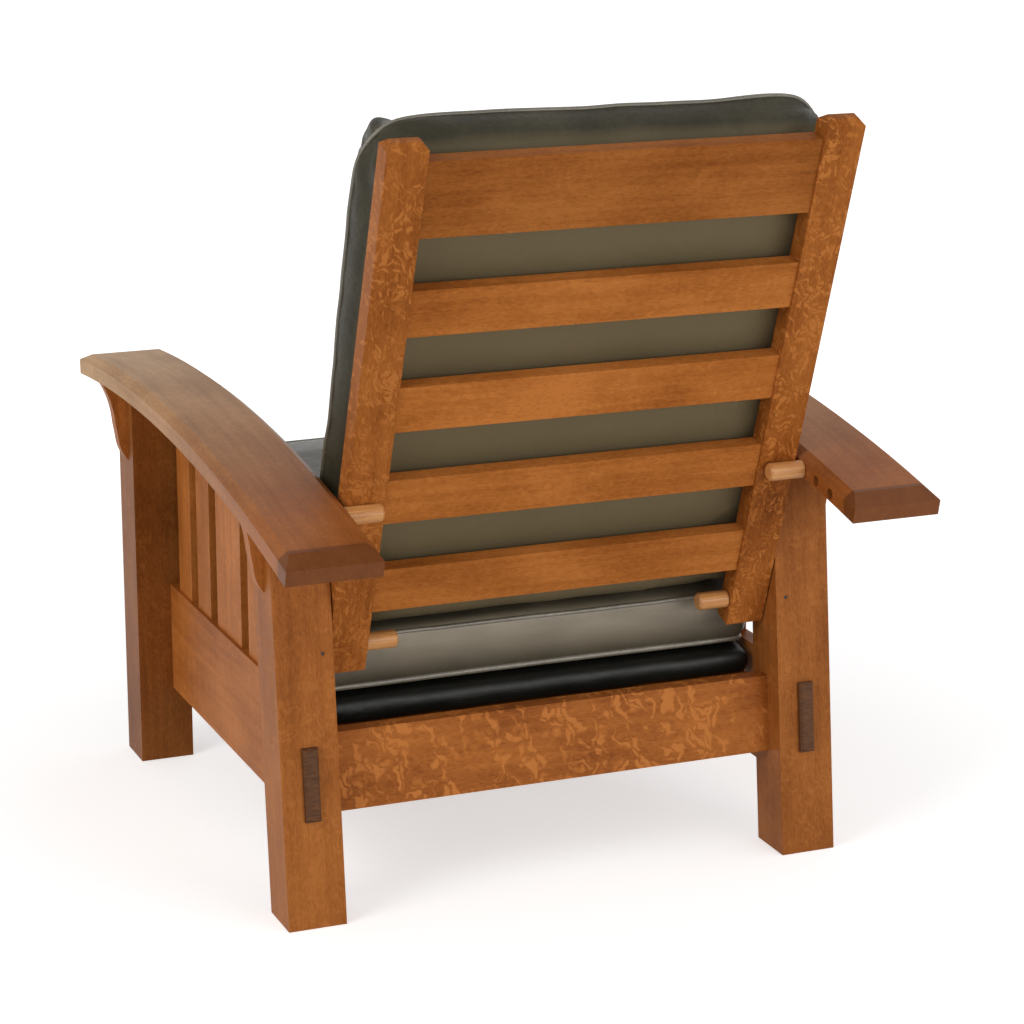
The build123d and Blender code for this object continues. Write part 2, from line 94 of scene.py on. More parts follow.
class Tree:
    """A short way to write node trees. Coordinates are the object's, in metres."""

    def __init__(self, name):
        self.mat = bpy.data.materials.new(name)
        self.mat.use_nodes = True
        self.nodes = self.mat.node_tree.nodes
        self.links = self.mat.node_tree.links
        self.nodes.clear()
        self.out = self.nodes.new("ShaderNodeOutputMaterial")
        self.bsdf = self.nodes.new("ShaderNodeBsdfPrincipled")
        self.links.new(self.bsdf.outputs[0], self.out.inputs[0])

    def put(self, socket, value):
        if hasattr(value, "is_linked"):
            self.links.new(value, socket)
        else:
            socket.default_value = value

    def finish(self, colour=None, roughness=None, gloss=None, normal=None):
        for name, value in (("Base Color", colour), ("Roughness", roughness), ("Specular IOR Level", gloss),
                            ("Normal", normal)):
            if value is not None:
                self.put(self.bsdf.inputs[name], value)
        return self.mat

    def node(self, kind, out=0, props=None, **inputs):
        n = self.nodes.new(kind)
        for key, value in (props or {}).items():
            setattr(n, key, value)
        for key, value in inputs.items():
            self.put(n.inputs[key], value)
        return n.outputs[out]

    def place(self):
        return self.node("ShaderNodeTexCoord", "Object")

    def math(self, op, a, b=None, c=None):
        n = self.nodes.new("ShaderNodeMath")
        n.operation = op
        for i, v in enumerate((a, b, c)):
            if v is not None:
                self.put(n.inputs[i], v)
        return n.outputs[0]

    def vector(self, op, a, b=None):
        n = self.nodes.new("ShaderNodeVectorMath")
        n.operation = op
        self.put(n.inputs[0], a)
        if b is not None:
            self.put(n.inputs[1], b)
        return n.outputs["Value" if op in ("DOT_PRODUCT", "LENGTH") else "Vector"]

    def split(self, vector):
        n = self.nodes.new("ShaderNodeSeparateXYZ")
        self.links.new(vector, n.inputs[0])
        return n.outputs

    def join(self, *parts):
        n = self.nodes.new("ShaderNodeCombineXYZ")
        for i, part in enumerate(parts):
            self.links.new(part, n.inputs[i])
        return n.outputs[0]

    def turned(self, vector, axis, angle):
        return self.node("ShaderNodeVectorRotate", props={"rotation_type": axis + "_AXIS"}, Vector=vector,
                         Angle=angle)

    def scaled(self, vector, x, y, z):
        return self.node("ShaderNodeMapping", Vector=vector, Scale=(x, y, z))

    def noise(self, vector, scale, detail, rough, distortion=0.0):
        return self.node("ShaderNodeTexNoise", Vector=vector, Scale=scale, Detail=detail, Roughness=rough,
                         Distortion=distortion)

    def noise_vector(self, vector, scale, detail=2.0):
        return self.node("ShaderNodeTexNoise", 1, Vector=vector, Scale=scale, Detail=detail)

    def cells(self, vector, scale, feature, out=0):
        return self.node("ShaderNodeTexVoronoi", out, {"feature": feature}, Vector=vector, Scale=scale)

    def ramp(self, value, stops):
        n = self.nodes.new("ShaderNodeValToRGB")
        while len(n.color_ramp.elements) < len(stops):
            n.color_ramp.elements.new(0.5)
        for e, (position, colour) in zip(n.color_ramp.elements, stops):
            e.position = position
            e.color = (*colour, 1)
        self.put(n.inputs[0], value)
        return n.outputs[0]

    def mix(self, share, a, b):
        n = self.nodes.new("ShaderNodeMix")
        n.data_type = "RGBA"
        self.put(n.inputs[0], share)
        for socket, colour in ((n.inputs[6], a), (n.inputs[7], b)):
            self.put(socket, (*colour, 1) if isinstance(colour, tuple) else colour)
        return n.outputs[2]

    def range(self, value, a, b, c=0.0, d=1.0):
        n = self.nodes.new("ShaderNodeMapRange")
        for i, v in enumerate((value, a, b, c, d)):
            self.put(n.inputs[i], v)
        return n.outputs[0]

    def bump(self, height, strength, distance, normal=None):
        n = self.nodes.new("ShaderNodeBump")
        n.inputs["Strength"].default_value = strength
        n.inputs["Distance"].default_value = distance
        self.put(n.inputs["Height"], height)
        if normal is not None:
            self.links.new(normal, n.inputs["Normal"])
        return n.outputs[0]


def shade(tone, factors):
    return tuple(a * b for a, b in zip(tone, factors))


# Colours are linear. The oak's stops give its figure from dark to light, as factors of its tone.
OAK = (0.285, 0.083, 0.014)
# The arms' front tone is lighter than their rear one: a painted reflection on the arms' fronts.
ARM_FRONT_SHEEN_TONE, ARM_REAR_TONE = (0.325, 0.160, 0.056), (0.230, 0.064, 0.011)
OAK_STOPS = [(0.0, (0.36, 0.30, 0.32)), (0.26, (0.66, 0.60, 0.62)), (0.5, (1, 1, 1)),
             (0.78, (1.38, 1.52, 1.75)), (1.0, (1.7, 2.0, 2.6))]
SAWN_FACTORS, SAWN_SHARE, SAWN_FADE = (0.34, 0.22, 0.20), 0.72, 0.004
END_DARK, END_LIGHT, END_PORE = (0.065, 0.023, 0.007), (0.135, 0.052, 0.017), (0.03, 0.016, 0.01)
PEG_DARK, PEG_LIGHT, PEG_PORE = (0.46, 0.185, 0.052), (0.62, 0.30, 0.10), (0.22, 0.09, 0.03)
STEEL_DARK, STEEL_LIGHT = (0.02, 0.017, 0.014), (0.06, 0.045, 0.035)

# Scales of the oak's figure, per metre: along the grain, across it and into the face
WARP_SCALE, BAND_SCALE, MOTTLE_SCALE = (3, 9, 9), (3.5, 95, 95), (130, 330, 330)
PORE_SCALE, PATCH_SCALE = (95, 900, 900), (6, 11, 11)
RAY_LENGTHWISE, RAY_CROSSWISE, RAY_INWARD, RAY_AREA_SCALE = 112, 46, 30, 15
MIDDLE = (0.5, 0.5, 0.5)

# Ways of the grain: a turn about X that brings it upright or level, and the axis that it then follows
TURNED_GRAIN = {"back": (LEAN, "z"), "back_x": (LEAN, "x"), "rake": (LEG_RAKE, "z")}
GRAIN_ORDER = {"x": (0, 2, 1), "y": (1, 2, 0), "z": (2, 0, 1)}


def grain_space(t, along, offset):
    """Coordinates in metres with the grain along X, the face's width along Y and its depth along Z."""
    pos = t.place()
    if along == "arc":
        x, y, z = t.split(pos)
        dy = t.math("SUBTRACT", y, ARM_CENTRE.y)
        dz = t.math("SUBTRACT", z, ARM_CENTRE.z)
        radius = t.math("SQRT", t.math("ADD", t.math("MULTIPLY", dy, dy), t.math("MULTIPLY", dz, dz)))
        run = t.math("MULTIPLY", t.math("ARCTAN2", dy, dz), ARM_RADIUS)
        return t.vector("ADD", t.join(run, x, radius), offset)
    if along in TURNED_GRAIN:
        angle, along = TURNED_GRAIN[along]
        pos = t.turned(pos, "X", angle)
    parts = t.split(pos)
    return t.vector("ADD", t.join(*(parts[i] for i in GRAIN_ORDER[along])), offset)


def towards_rear(t):
    """0 at the front of the arms, 1 at their rear ends: how far the painted reflection on their fronts has
    faded.
    """
    return t.range(t.split(t.place())[1], ARM_FRONT_Y, ARM_REAR_Y)


def lit_rear_face(t):
    """1 on the back cushion's rear face, 0 past the rounding of its edge: where the leather is painted
    lighter, as painted light seen between the slats.
    """
    face = BACK_FOOT.dot(BACK_REAR)
    return t.range(t.vector("DOT_PRODUCT", t.place(), tuple(BACK_REAR)), face - 0.060, face - 0.036)


def band_sheen(t):
    """1 on the middle of the seat cushion's upright band, clouded, and 0 at its seams: where the leather is
    painted lighter as a painted sheen.
    """
    height = t.vector("DOT_PRODUCT", t.place(), tuple(SEAT_UP))
    foot = SEAT_FOOT.dot(SEAT_UP)
    rise = t.range(height, foot + 0.008, foot + 0.058)
    fall = t.range(height, foot + 0.077, foot + 0.083, 1.0, 0.0)
    cloud = t.noise(t.scaled(t.place(), 5, 5, 14), 1.0, 2, 0.5)
    return t.math("MULTIPLY", t.math("MULTIPLY", rise, fall), t.range(cloud, 0.3, 0.62, 0.35, 1.0))


def ray_fleck(t, p, slant, ray_size):
    """Slanting lobes with narrow grooves between them, in some areas of the face."""
    wave = t.vector("MULTIPLY", t.vector("SUBTRACT", t.noise_vector(p, 26.0), MIDDLE), (0.06, 0.06, 0.0))
    fine = t.vector("MULTIPLY", t.noise_vector(p, 110.0, 1.0), (0.010, 0.010, 0.0))
    bent = t.vector("ADD", t.vector("ADD", t.turned(p, "Z", math.radians(slant)), wave), fine)
    lobes = t.scaled(bent, RAY_LENGTHWISE / ray_size, RAY_CROSSWISE / ray_size, RAY_INWARD)
    rim = t.cells(lobes, 1.0, "DISTANCE_TO_EDGE")
    pick = t.nodes.new("ShaderNodeSeparateColor")
    t.links.new(t.cells(lobes, 1.0, "F1", 1), pick.inputs[0])
    ray = t.math("MULTIPLY", t.range(pick.outputs[0], 0.36, 0.56), t.range(rim, 0.05, 0.27))
    return t.math("MULTIPLY", ray, t.range(t.noise(p, RAY_AREA_SCALE, 2, 0.5), 0.38, 0.56, 0.3, 1.0))


def oak(name, along, offset, fleck, slant, gloss, ray_size, tone):
    """Quarter-sawn oak: pores along the grain, soft growth bands and ray fleck that crosses it."""
    t = Tree(name)
    p = grain_space(t, along, offset)
    warp = t.vector("SUBTRACT", t.noise_vector(t.scaled(p, *WARP_SCALE), 1.0), MIDDLE)
    q = t.vector("ADD", p, t.vector("MULTIPLY", warp, (0.0, 0.02, 0.02)))
    bands = t.noise(t.scaled(q, *BAND_SCALE), 1.0, 3, 0.55)
    mottle = t.noise(t.scaled(q, *MOTTLE_SCALE), 1.0, 4, 0.68)
    pore = t.range(t.noise(t.scaled(q, *PORE_SCALE), 1.0, 2, 0.6), 0.28, 0.42, 1.0, 0.0)
    patch = t.noise(t.scaled(p, *PATCH_SCALE), 1.0, 3, 0.55)
    ray = ray_fleck(t, p, slant, ray_size)
    # 0.5 is the plain tone; the start makes up for the mean of the noises and of the rays
    value = t.math("MULTIPLY_ADD", bands, 0.55, -0.45)
    value = t.math("MULTIPLY_ADD", mottle, 0.75, value)
    value = t.math("MULTIPLY_ADD", patch, 0.95, value)
    value = t.math("MULTIPLY_ADD", pore, -0.22, value)
    value = t.math("ADD", value, 0.12 - fleck * 0.20)
    value = t.math("MULTIPLY_ADD", ray, fleck * 0.72, value)

    def coloured(base):
        return t.ramp(value, [(position, shade(base, factors)) for position, factors in OAK_STOPS])

    colour = coloured(tone)
    if along == "arc":
        # painted reflection: the arm's light front tone fades into its plain rear tone
        colour = t.mix(towards_rear(t), colour, coloured(ARM_REAR_TONE))
        sawn = t.range(t.split(t.place())[1], ARM_END_Y, ARM_END_Y + SAWN_FADE, 0.0, SAWN_SHARE)
        colour = t.mix(sawn, colour, shade(tone, SAWN_FACTORS))
    grooves = t.math("SUBTRACT", t.math("MULTIPLY", mottle, 0.5), pore)
    height = t.math("MULTIPLY_ADD", ray, fleck * 0.5, grooves)
    return t.finish(colour, t.range(mottle, 0.3, 0.7, 0.38, 0.5), gloss, t.bump(height, 0.4, 0.0005))


def end_grain():
    t = Tree("end_grain")
    p = t.place()
    rings = t.noise(t.scaled(p, 90, 90, 520), 1.0, 3, 0.6)
    pores = t.noise(p, 1500, 2, 0.6)
    colour = t.mix(t.range(rings, 0.35, 0.65), END_DARK, END_LIGHT)
    colour = t.mix(t.range(pores, 0.55, 0.7, 0, 0.6), colour, END_PORE)
    return t.finish(colour, 0.5, 0.2, t.bump(pores, 0.3, 0.0004))


def peg_wood():
    t = Tree("peg_wood")
    p = t.place()
    bands = t.noise(t.scaled(p, 12, 420, 420), 1.0, 3, 0.55)
    pores = t.noise(t.scaled(p, 60, 1500, 1500), 1.0, 2, 0.6)
    colour = t.mix(t.range(bands, 0.35, 0.65), PEG_DARK, PEG_LIGHT)
    colour = t.mix(t.range(pores, 0.3, 0.42, 0.5, 0.0), colour, PEG_PORE)
    return t.finish(colour, 0.34, 0.35, t.bump(bands, 0.2, 0.0003))


def leather(name, low, high, rough, gloss, painted_light=None):
    """Dyed hide: fine pebble grain, soft creases, slow changes of tone and perhaps a part painted lighter, as
    painted light.
    """
    t = Tree(name)
    p = t.place()
    fine = t.noise(p, 140, 3, 0.6)
    colour = t.mix(t.range(t.noise(p, 9, 4, 0.6), 0.3, 0.72), low, high)
    colour = t.mix(t.range(fine, 0.4, 0.75, 0.0, 0.3), colour, tuple(c * 0.6 for c in low))
    if painted_light:
        painted_light_colour, where = painted_light
        # painted light: a lighter colour mixed in where the mask says
        colour = t.mix(where(t), colour, painted_light_colour)
    shake = t.node("ShaderNodeVectorMath", props={"operation": "SCALE"}, Vector=t.noise_vector(p, 300.0),
                   Scale=0.002)
    pebble = t.range(t.cells(t.vector("ADD", p, shake), 620.0, "DISTANCE_TO_EDGE"), 0.0, 0.16)
    crease = t.noise(t.scaled(p, 34, 34, 60), 1.0, 5, 0.62, 1.2)
    crease = t.range(t.math("ABSOLUTE", t.math("SUBTRACT", crease, 0.5)), 0.0, 0.035)
    normal = t.bump(pebble, 0.22, 0.0005)
    normal = t.bump(crease, 0.16, 0.0009, normal)
    normal = t.bump(t.noise(p, 22, 3, 0.5), 0.35, 0.004, normal)
    return t.finish(colour, t.range(fine, 0.3, 0.7, *rough), gloss, normal)


def steel():
    t = Tree("dark_steel")
    t.bsdf.inputs["Metallic"].default_value = 0.6
    return t.finish(t.mix(t.noise(t.place(), 300, 3, 0.6), STEEL_DARK, STEEL_LIGHT), 0.5)


M_PEG = peg_wood()
M_END = end_grain()
M_STEEL = steel()
# The back cushion's leather is painted lighter on its rear face: painted light.
M_LEATHER = leather("leather", (0.024, 0.0215, 0.012), (0.060, 0.052, 0.031), (0.38, 0.5), 0.15,
                    ((0.150, 0.115, 0.060), lit_rear_face))
# The seat leather is painted lighter up the middle of its band: a painted sheen.
M_SEAT = leather("seat_leather", (0.040, 0.034, 0.020), (0.085, 0.070, 0.044), (0.3, 0.4), 0.5,
                 ((0.27, 0.225, 0.155), band_sheen))
M_DECK = leather("deck_leather", (0.004, 0.0045, 0.0035), (0.011, 0.011, 0.008), (0.3, 0.42), 0.3)
# The welts' leather is lighter than the cushions': a painted highlight along the welts, besides their real
# gloss.
M_WELT = leather("welt_leather_highlit", (0.130, 0.112, 0.080), (0.240, 0.208, 0.155), (0.2, 0.28), 0.8)
M_SEAM = leather("seam_leather_highlit", (0.090, 0.078, 0.052), (0.170, 0.148, 0.105), (0.24, 0.32), 0.7)

# What a node is made of, by a word in its name; the rest is oak
PLAIN = {"cushion": M_LEATHER, "deck_pad": M_DECK, "screw": M_STEEL, "tenon_cap": M_END, "peg": M_PEG,
         "pivot_pin": M_PEG}
# The oak's grain, ray fleck, slant of the rays in degrees, gloss and ray size, by how a name starts
HIDDEN_LOOK, UPRIGHT_LOOK = ("x", 0.4, 8, 0.09, 1.0), ("z", 0.2, 12, 0.09, 1.0)
BACK_LOOK = ("back_x", 0.12, 10, 0.04, 1.0)
OAK_LOOKS = {"arm": ("arc", 0.12, 0, 0.15, 1.0), "back_post": ("back", 0.95, 55, 0.05, 0.6),
             "back_slat": BACK_LOOK, "crest_rail": BACK_LOOK, "rear_rail": ("x", 1.0, 28, 0.09, 1.15),
             "front_rail": HIDDEN_LOOK, "front_cleat": HIDDEN_LOOK, "rear_cleat": HIDDEN_LOOK,
             "deck_board": HIDDEN_LOOK, "side_rail": ("y", 0.2, 0, 0.09, 1.0),
             "rear_leg": ("rake", 0.2, 12, 0.09, 1.0)}
# Lightness set for a piece, or a factor on its own drawn one. The front legs' set lightness is painted shade
# from the arms above them; the crest rail is simply set darker.
SET_LIGHTNESS_AND_SHADE = {"crest_rail": 0.78, "front_leg": 0.62}
LIGHTNESS_FACTORS = {"rear_leg": 0.84, "back_post": 0.96}
SEED, OFFSET_RANGE, LIGHTNESS_RANGE = 7, 3, (0.94, 1.06)


def by_start(table, name, other):
    return next((value for start, value in table.items() if name.startswith(start)), other)


def dress_cad():
    """Give every CAD node its material; no two pieces of oak share a place in the log."""
    rng = random.Random(SEED)
    for name in sorted(NODES):
        offset = tuple(rng.uniform(-OFFSET_RANGE, OFFSET_RANGE) for _ in range(3))
        drawn = rng.uniform(*LIGHTNESS_RANGE)
        k = by_start(SET_LIGHTNESS_AND_SHADE, name, drawn * by_start(LIGHTNESS_FACTORS, name, 1.0))
        tone = ARM_FRONT_SHEEN_TONE if name.startswith("arm") else shade(OAK, (k, k, k))
        mat = next((mat for word, mat in PLAIN.items() if word in name), None)
        if mat is None:
            along, fleck, slant, gloss, ray_size = by_start(OAK_LOOKS, name, UPRIGHT_LOOK)
            mat = oak("oak_" + name, along, offset, fleck, slant, gloss, ray_size, tone)
        NODES[name].data.materials.clear()
        NODES[name].data.materials.append(mat)


SIDE_STEPS, CORNER_STEPS = 60, 6


def link(name, mesh, mat, body, smooth=True):
    ob = bpy.data.objects.new(name, mesh)
    bpy.context.scene.collection.objects.link(ob)
    mesh.materials.append(mat)
    if smooth:
        mesh.polygons.foreach_set("use_smooth", [True] * len(mesh.polygons))
    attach(ob, body)
    return ob


def outline(half_x, low, high, corner, draw):
    """Points round a rounded rectangle in (x, s) whose sides draw in, counted evenly by length."""
    pts = []

    def side(a, b, inward):
        for i in range(SIDE_STEPS):
            t = i / SIDE_STEPS
            pts.append(a.lerp(b, t) + inward * draw * (1 - (2 * t - 1) ** 2))

    def turn(c, start):
        for i in range(CORNER_STEPS):
            a = start + math.pi / 2 * i / CORNER_STEPS
            pts.append(Vector((c[0] + corner * math.cos(a), c[1] + corner * math.sin(a))))

    x0, x1, y0, y1 = -half_x, half_x, low, high
    c = corner
    side(Vector((x1, y0 + c)), Vector((x1, y1 - c)), Vector((-1, 0)))
    turn((x1 - c, y1 - c), 0)
    side(Vector((x1 - c, y1)), Vector((x0 + c, y1)), Vector((0, -1)))
    turn((x0 + c, y1 - c), math.pi / 2)
    side(Vector((x0, y1 - c)), Vector((x0, y0 + c)), Vector((1, 0)))
    turn((x0 + c, y0 + c), math.pi)
    side(Vector((x0 + c, y0)), Vector((x1 - c, y0)), Vector((0, 1)))
    turn((x1 - c, y0 + c), 1.5 * math.pi)
    return pts


def tube(name, points, radius, mat, body, skin):
    """A round welt along a closed line of points, brought onto the skin that it is sewn to."""
    skin.update()
    tree = BVHTree.FromPolygons([v.co for v in skin.vertices], [p.vertices for p in skin.polygons])
    points = [tree.find_nearest(p)[0] for p in points]
    for _ in range(3):
        points = [(points[i - 1] + 2 * q + points[(i + 1) % len(points)]) / 4 for i, q in enumerate(points)]
    curve = bpy.data.curves.new(name, "CURVE")
    curve.dimensions = "3D"
    spline = curve.splines.new("POLY")
    spline.points.add(len(points) - 1)
    for p, q in zip(spline.points, points):
        p.co = (*q, 1)
    spline.use_cyclic_u = True
    curve.bevel_depth = radius
    curve.bevel_resolution = 3
    ob = bpy.data.objects.new(name + "_line", curve)
    bpy.context.scene.collection.objects.link(ob)
    mesh = bpy.data.meshes.new_from_object(ob)
    mesh.name = name
    bpy.data.objects.remove(ob)
    return link(name, mesh, mat, body)


def back_point(x, s, d):
    """X, height up the back and distance in front of the posts' rear faces."""
    return Vector((x, 0, 0)) + BACK_FOOT + BACK_UP * s - BACK_REAR * d


def back_local(co):
    v = co - BACK_FOOT
    return v.x, v.dot(BACK_UP), -v.dot(BACK_REAR)


def seat_point(x, y, h):
    """X, distance from the rear of the cushion's foot (forward is negative), height over the deck."""
    return Vector((x, 0, 0)) + SEAT_FOOT + SEAT_REAR * y + SEAT_UP * h


def seat_local(co):
    v = co - SEAT_FOOT
    return v.x, v.dot(SEAT_REAR), v.dot(SEAT_UP)


def rings_mesh(name, rings):
    """A closed skin over rings of equal count."""
    bm = bmesh.new()
    rows = [[bm.verts.new(p) for p in ring] for ring in rings]
    n = len(rows[0])
    for a, b in zip(rows, rows[1:]):
        for i in range(n):
            bm.faces.new((a[i], a[(i + 1) % n], b[(i + 1) % n], b[i]))
    bm.faces.new(list(reversed(rows[0])))
    bm.faces.new(rows[-1])
    bmesh.ops.recalc_face_normals(bm, faces=bm.faces)
    mesh = bpy.data.meshes.new(name)
    bm.to_mesh(mesh)
    bm.free()
    return mesh


CUSHION_VOXEL, DECK_VOXEL = 0.0075, 0.005
CLOTH_FRAMES = 20


def evaluated(ob):
    return bpy.data.meshes.new_from_object(ob.evaluated_get(bpy.context.evaluated_depsgraph_get()))


def inflate(mesh, name, voxel, hold=None, pressure=0, cap=0):
    """Remesh, blow up with cloth pressure, cap the travel and return the new mesh. A firm pad has no hold."""
    ob = bpy.data.objects.new(name + "_sim", mesh)
    bpy.context.scene.collection.objects.link(ob)
    mod = ob.modifiers.new("remesh", "REMESH")
    mod.mode = "VOXEL"
    mod.voxel_size = voxel
    done = evaluated(ob)
    if hold:
        ob.modifiers.clear()
        ob.data = done
        start = [v.co.copy() for v in done.vertices]
        group = ob.vertex_groups.new(name="pin")
        for i, co in enumerate(start):
            weight = hold(co)
            if weight > 0:
                group.add([i], weight, "REPLACE")
        cloth = ob.modifiers.new("cloth", "CLOTH")
        s = cloth.settings
        s.quality = 5
        s.mass = 0.4
        s.use_pressure = True
        s.uniform_pressure_force = pressure
        s.vertex_group_mass = "pin"
        s.pin_stiffness = 1.0
        s.effector_weights.gravity = 0
        s.tension_stiffness = s.compression_stiffness = 12
        s.shear_stiffness = 6
        s.bending_stiffness = 1.5
        cloth.collision_settings.use_self_collision = False
        cloth.point_cache.frame_start, cloth.point_cache.frame_end = 1, CLOTH_FRAMES
        for frame_number in range(1, CLOTH_FRAMES + 1):
            bpy.context.scene.frame_set(frame_number)
        done = evaluated(ob)
        bpy.context.scene.frame_set(1)
        for v, co in zip(done.vertices, start):
            move = v.co - co
            if move.length > cap:
                move *= cap / move.length
            v.co = co + move
    bpy.data.objects.remove(ob)
    done.name = name
    return done


def finish_soft(ob):
    sub = ob.modifiers.new("round", "SUBSURF")
    sub.levels = sub.render_levels = 1


# Back cushion: two halves that meet in one seam round the middle of its edge. Its rear face touches the
# posts, D is measured from their rear faces, and the shares run from the seam out to a face.
BACK_REAR_D, BACK_HALF_DEPTH = 0.0283, 0.0705
SEAM_D = BACK_REAR_D + BACK_HALF_DEPTH
SEAM_HALF, SEAM_LOW, SEAM_HIGH = 0.3035, 0.018, 0.721
SEAM_CORNER, FACE_CORNER_EXTRA, SEAM_DRAW, SEAM_STAND = 0.037, 0.007, 0.006, 0.0012
FORM_HALF_DEPTH = 0.064
BACK_PROFILE_SHARES = [(1.0, 0.30), (1.0, 0.62), (0.985, 0.85), (0.93, 0.925), (0.78, 0.967), (0.50, 0.99),
                       (0.20, 0.999)]
BACK_PRESSURE, BACK_TRAVEL = 3.0, 0.014
BACK_WELT_RADIUS = 0.0029
# Clear distances kept by the skin: from the posts, and at the front
BACK_NEAR_D, BACK_FAR_D = 0.0286, 0.1705
# Folds that fan out from the corners
FOLD_REACH, FOLD_NARROW, FOLD_WIDE, FOLD_DEPTH = 0.16, 0.034, 0.058, 0.0026
CORNER_PULL, CORNER_PULL_REACH = 0.0085, 0.040
# The ends of the top hang a little, more on the sitter's left
DROOP_LEFT, DROOP_RIGHT, DROOP_START, DROOP_RUN = 0.010, 0.006, 0.20, 0.10
DROOP_FOOT, DROOP_RISE = 0.45, 0.2


def back_shape():
    """Rings from the middle of the rear face, over the seam, to the middle of the front face."""
    mid = (SEAM_LOW + SEAM_HIGH) / 2
    front = [(-share, size) for share, size in reversed(BACK_PROFILE_SHARES)]
    rings = []
    for share, size in BACK_PROFILE_SHARES + [(0.0, 1.0)] + front:
        corner = SEAM_CORNER + FACE_CORNER_EXTRA * min(1, abs(share) / 0.5)
        rings.append([back_point(p.x * size, mid + (p.y - mid) * size, SEAM_D - share * FORM_HALF_DEPTH)
                      for p in outline(SEAM_HALF, SEAM_LOW, SEAM_HIGH, corner, SEAM_DRAW)])
    return rings


def back_low(d):
    """How far up the back the seat cushion's top lies at this distance from the posts' backs."""
    return 0.0424 - 0.170 * d


def bulge(r, reach):
    """0 at the corner, 1 at the reach, fading beyond it."""
    return r / reach * math.exp(1 - r / reach)


def back_detail(co, normal):
    """Corners drawn in on the seam with folds that fan out, soft hollows, and clearances kept."""
    x, s, d = back_local(co)
    push = noise.noise(Vector((x * 7, s * 7, d * 7)) + Vector((3, 1, 7))) * 0.0030
    push += noise.noise(Vector((x * 19, s * 13, d * 19))) * 0.0011
    # shallow drag lines from the seam on the upright sides
    side = max(0.0, 1 - (SEAM_HALF - abs(x)) / 0.05)
    push += side * noise.noise(Vector((4, s * 34, d * 9))) * 0.0022
    pull = Vector((0, 0))
    for sx in (-1, 1):
        for end, sign in ((SEAM_HIGH, 1), (SEAM_LOW, -1)):
            dx, ds, dd = SEAM_HALF - sx * x, sign * (end - s), d - SEAM_D
            r = math.sqrt(dx * dx + ds * ds + dd * dd)
            if r > FOLD_REACH:
                continue
            bearing = math.atan2(dd, dx - ds)
            push += (math.cos(9 * bearing + 0.9 * sx + 0.5 * sign) - 0.7) * FOLD_DEPTH * bulge(r, FOLD_NARROW)
            push += (math.cos(4 * bearing + 0.6 * sx) - 1) * FOLD_DEPTH * bulge(r, FOLD_WIDE)
            drawn = CORNER_PULL * math.exp(-(r / CORNER_PULL_REACH) ** 2)
            pull += Vector((-sx * drawn, -sign * drawn))
    moved = co + normal * push
    x, s, d = back_local(moved)
    x, s = x + pull.x, s + pull.y
    ends = max(0.0, (abs(x) - DROOP_START) / DROOP_RUN)
    height = max(0.0, min(1.0, (s - DROOP_FOOT) / DROOP_RISE))
    s -= (DROOP_LEFT if x > 0 else DROOP_RIGHT) * ends * ends * height
    d = max(BACK_NEAR_D, min(d, BACK_FAR_D))
    s = max(s, back_low(d))
    x = max(-SEAM_HALF, min(SEAM_HALF, x))
    return back_point(x, s, d)


def back_hold(co):
    """The seam is held fast and the rear face, which lies on the posts, nearly so."""
    x, s, d = back_local(co)
    edge = min(SEAM_HALF - abs(x), s - SEAM_LOW, SEAM_HIGH - s)
    if abs(d - SEAM_D) < 0.006 and edge < 0.014:
        return 1.0
    return 0.9 if d < 0.036 else 0.0


def back_cushion():
    mesh = rings_mesh("back_cushion_form", back_shape())
    mesh = inflate(mesh, "back_cushion_skin", CUSHION_VOXEL, back_hold, BACK_PRESSURE, BACK_TRAVEL)
    for v, normal in [(v, v.normal.copy()) for v in mesh.vertices]:
        v.co = back_detail(v.co, normal)
    ob = link("back_cushion_skin", mesh, M_LEATHER, "back_cushion")
    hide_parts("back_cushion")
    finish_soft(ob)
    low, high = SEAM_LOW - SEAM_STAND, SEAM_HIGH + SEAM_STAND
    seam = outline(SEAM_HALF + SEAM_STAND, low, high, SEAM_CORNER, SEAM_DRAW)
    line = [back_detail(back_point(p.x, p.y, SEAM_D), Vector((0, 0, 0))) for p in seam]
    w = tube("back_cushion_welt", line, BACK_WELT_RADIUS, M_SEAM, "back_cushion", mesh)


# Seat cushion: boxed, with a seam above and below its upright band. Levels are heights over the deck, each
# with the share of the outline's size there.
SEAT_HALF, SEAT_LEN, SEAT_CORNER, SEAT_DRAW, SEAT_STAND = 0.2995, 0.630, 0.012, 0.003, 0.001
SEAT_MID = -SEAT_LEN / 2
SEAT_LEVELS = [(0.0012, 0.93), (0.002, 0.97), (0.004, 0.988), (0.006, 0.996), (0.012, 0.9985), (0.026, 1.004),
               (0.042, 1.006), (0.058, 1.004), (0.071, 0.9985), (0.076, 0.996), (0.079, 0.985), (0.083, 0.95),
               (0.088, 0.86), (0.0915, 0.72), (0.0935, 0.5), (0.094, 0.25)]
SEAT_PRESSURE, SEAT_TRAVEL = 2.0, 0.007
SEAT_WELTS = (("upper", 0.0785, 0.0030), ("lower", 0.0052, 0.0042))
# Where the skin stops: above the deck, under the sitter, beside the legs and at the rear
SEAT_LEAST_H, SEAT_MOST_H, SEAT_LIMIT, SEAT_REAR_LIMIT = 0.0006, 0.0928, 0.3025, 0.004
# Behind the arms' slats the cushion is freer and stands out a little past the legs.
SWELL_START, SWELL_RUN, SWELL_SHARE = -0.40, 0.15, 0.018
SEAT_EDGE_SHARE = 0.97


def seat_edge(x, y):
    """1 at the sides and the ends of the cushion, 0 in its middle: across and lengthwise."""
    return abs(x) / SEAT_HALF, abs(y - SEAT_MID) / (SEAT_LEN / 2)


def seat_shape():
    base = outline(SEAT_HALF, -SEAT_LEN, 0.0, SEAT_CORNER, SEAT_DRAW)
    return [[seat_point(p.x * size, SEAT_MID + (p.y - SEAT_MID) * size, h) for p in base]
            for h, size in SEAT_LEVELS]


